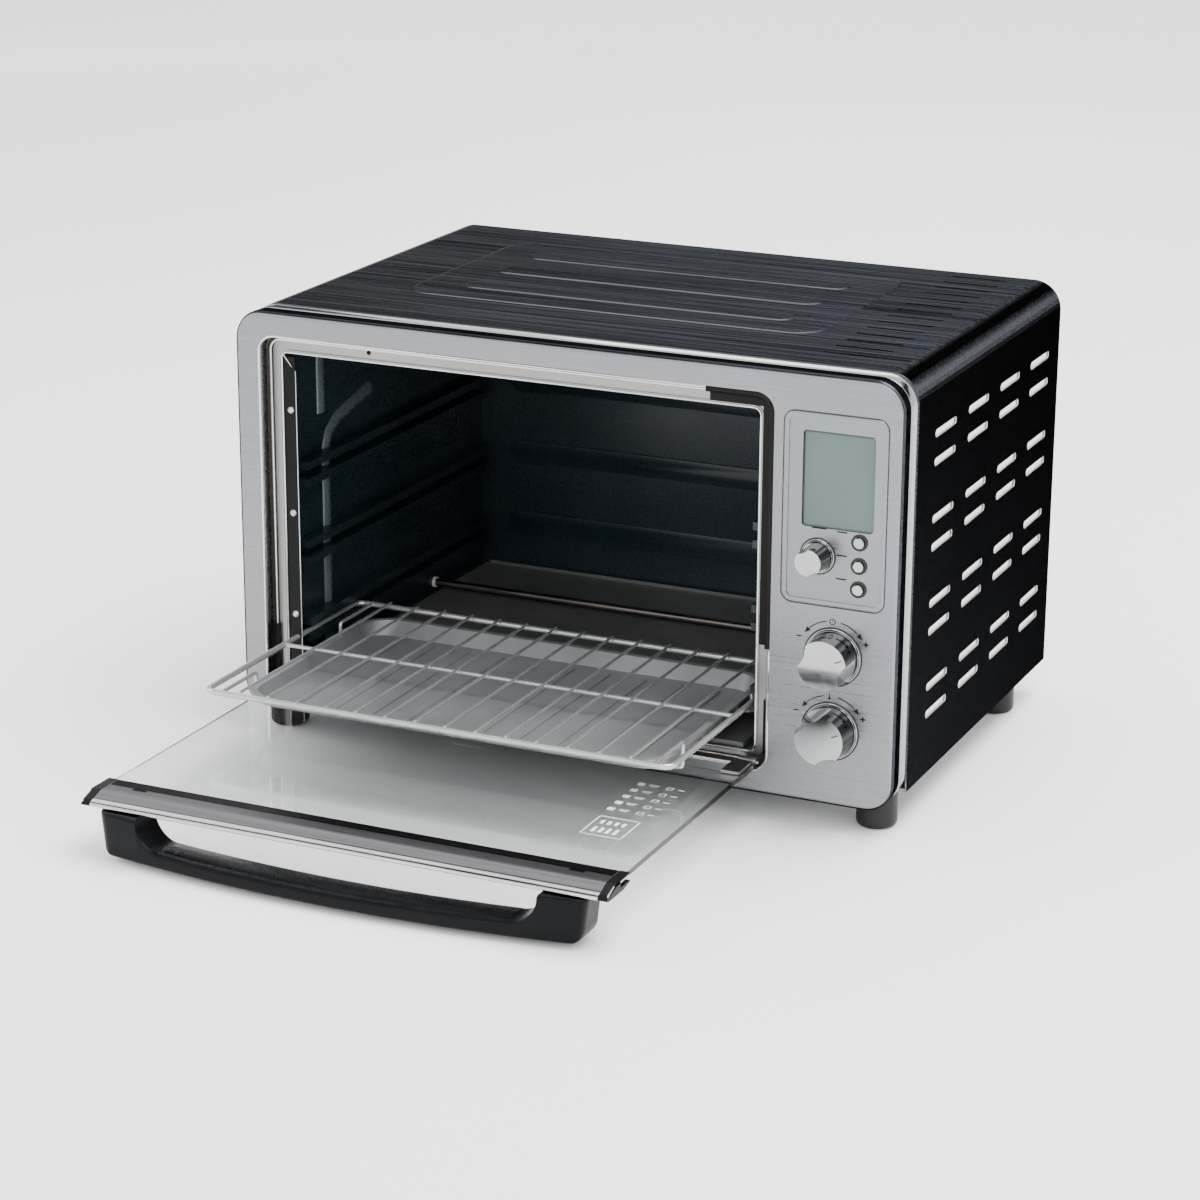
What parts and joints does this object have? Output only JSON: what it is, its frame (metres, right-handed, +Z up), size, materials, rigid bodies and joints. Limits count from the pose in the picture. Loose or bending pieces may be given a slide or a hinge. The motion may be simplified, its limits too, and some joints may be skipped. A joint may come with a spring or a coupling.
{
  "type": "countertop convection oven",
  "caption": "Countertop convection oven with a drop-down glass door, a bowed handle, a door-coupled wire rack with a drip pan, a crumb tray, turning knobs and push buttons.",
  "frame": {"origin": "on the standing plane, under the middle of the body's width and depth", "axes": "+X to the oven's right as seen from the front, +Y to its back, +Z up"},
  "size_m": [0.53, 0.6405, 0.3372],
  "materials": {
    "brushed_shell": "brushed along X",
    "bezel_steel": "satin",
    "zinc_frame": "satin",
    "dark_enamel": "dark non-stick coating",
    "seal_rubber": "matte",
    "plain_sheet": "plain zinc-coated sheet",
    "bright_screw": "bright",
    "wool": "mineral wool",
    "heater_steel": "heat-tinted sheath",
    "white_ceramic": "matte",
    "tray_steel": "satin",
    "fan_aluminium": "plain",
    "motor_iron": "laminated stack and housing",
    "chrome_wire": "bright plated wire",
    "pan_steel": "dark enamel",
    "board": "printed circuit board",
    "display": "blank display cell",
    "lens": "clear window",
    "black_plastic": "moulded",
    "handle_plastic": "satin moulded",
    "knob_chrome": "bright satin",
    "ring_dark": "dark ring",
    "door_glass": "toughened, clear",
    "rail_steel": "satin",
    "foot_rubber": "matte"
  },
  "bodies": {
    "oven": {"outer_wrap": "brushed_shell", "front_bezel": "bezel_steel", "chamber_frame": "zinc_frame", "cavity_liner": "dark_enamel", "steam_seal": "seal_rubber", "bulkhead": "plain_sheet", "base_plate": "plain_sheet", "rear_panel": "plain_sheet", "cover_screws": "bright_screw", "foot_screws": "bright_screw", "top_insulation": "wool", "rear_insulation": "wool", "lower_front_element": "heater_steel", "lower_rear_element": "heater_steel", "upper_front_element": "heater_steel", "upper_rear_element": "heater_steel", "element_insulators": "white_ceramic", "fan_motor": "motor_iron", "fan_scroll": "plain_sheet", "thermostat_probe": "heater_steel", "control_board": "board", "lcd_module": "display", "lcd_lens": "lens", "encoder_bodies": "black_plastic", "tact_switches": "black_plastic", "power_board": "board", "power_relays": "black_plastic", "terminal_block": "black_plastic", "thermal_fuse": "black_plastic", "cord_gland": "foot_rubber", "knob_rings": "ring_dark", "button_collars": "ring_dark", "hinge_pins": "bright_screw", "hinge_bracket_left": "black_plastic", "hinge_bracket_right": "black_plastic", "foot_front_left": "foot_rubber", "foot_front_right": "foot_rubber", "foot_rear_left": "foot_rubber", "foot_rear_right": "foot_rubber"},
    "door": {"door_glass": "door_glass", "door_rail": "rail_steel", "rail_cap_left": "black_plastic", "rail_cap_right": "black_plastic", "door_handle": "handle_plastic", "handle_screws": "bright_screw", "hinge_clip_left": "zinc_frame", "hinge_clip_right": "zinc_frame"},
    "rack_and_pan": {"rack": "chrome_wire", "bake_pan": "pan_steel"},
    "crumb_tray": {"crumb_tray": "tray_steel"},
    "function_dial": {"function_knob": "knob_chrome", "function_shaft": "bright_screw"},
    "timer_dial": {"timer_knob": "knob_chrome", "timer_shaft": "bright_screw"},
    "temperature_dial": {"temperature_knob": "knob_chrome", "temperature_shaft": "bright_screw"},
    "upper_key": {"upper_button": "knob_chrome"},
    "middle_key": {"middle_button": "knob_chrome"},
    "lower_key": {"lower_button": "knob_chrome"},
    "fan_wheel": {"convection_fan": "fan_aluminium"}
  },
  "joints": [
    {"name": "door_hinge", "type": "hinge", "parent": "oven", "child": "door", "pos_m": [-0.0385, -0.174, 0.042], "axis": [-1, 0, 0], "range_deg": [0, 90]},
    {"name": "rack_slide", "type": "slide", "parent": "oven", "child": "rack_and_pan", "axis": [0, 1, 0], "range_m": [0, 0.2264]},
    {"name": "crumb_tray_slide", "type": "slide", "parent": "oven", "child": "crumb_tray", "axis": [0, -1, 0], "range_m": [0, 0.24]},
    {"name": "fan_spin", "type": "hinge", "parent": "oven", "child": "fan_wheel", "pos_m": [0.18, 0.018, 0.178], "axis": [1, 0, 0], "continuous": true},
    {"name": "function_turn", "type": "hinge", "parent": "oven", "child": "function_dial", "pos_m": [0.2038, -0.178, 0.2052], "axis": [0, 1, 0], "continuous": true},
    {"name": "timer_turn", "type": "hinge", "parent": "oven", "child": "timer_dial", "pos_m": [0.2171, -0.178, 0.1323], "axis": [0, 1, 0], "continuous": true},
    {"name": "temperature_turn", "type": "hinge", "parent": "oven", "child": "temperature_dial", "pos_m": [0.2164, -0.178, 0.0765], "axis": [0, 1, 0], "continuous": true},
    {"name": "upper_press", "type": "slide", "parent": "oven", "child": "upper_key", "axis": [0, 1, 0], "range_m": [0, 0.0008], "stiffness_N_per_m": 400},
    {"name": "middle_press", "type": "slide", "parent": "oven", "child": "middle_key", "axis": [0, 1, 0], "range_m": [0, 0.0008], "stiffness_N_per_m": 400},
    {"name": "lower_press", "type": "slide", "parent": "oven", "child": "lower_key", "axis": [0, 1, 0], "range_m": [0, 0.0008], "stiffness_N_per_m": 400}
  ],
  "couplings": [
    {"joint": "rack_slide", "follows": "door_hinge", "m_per_rad": 0.144}
  ]
}
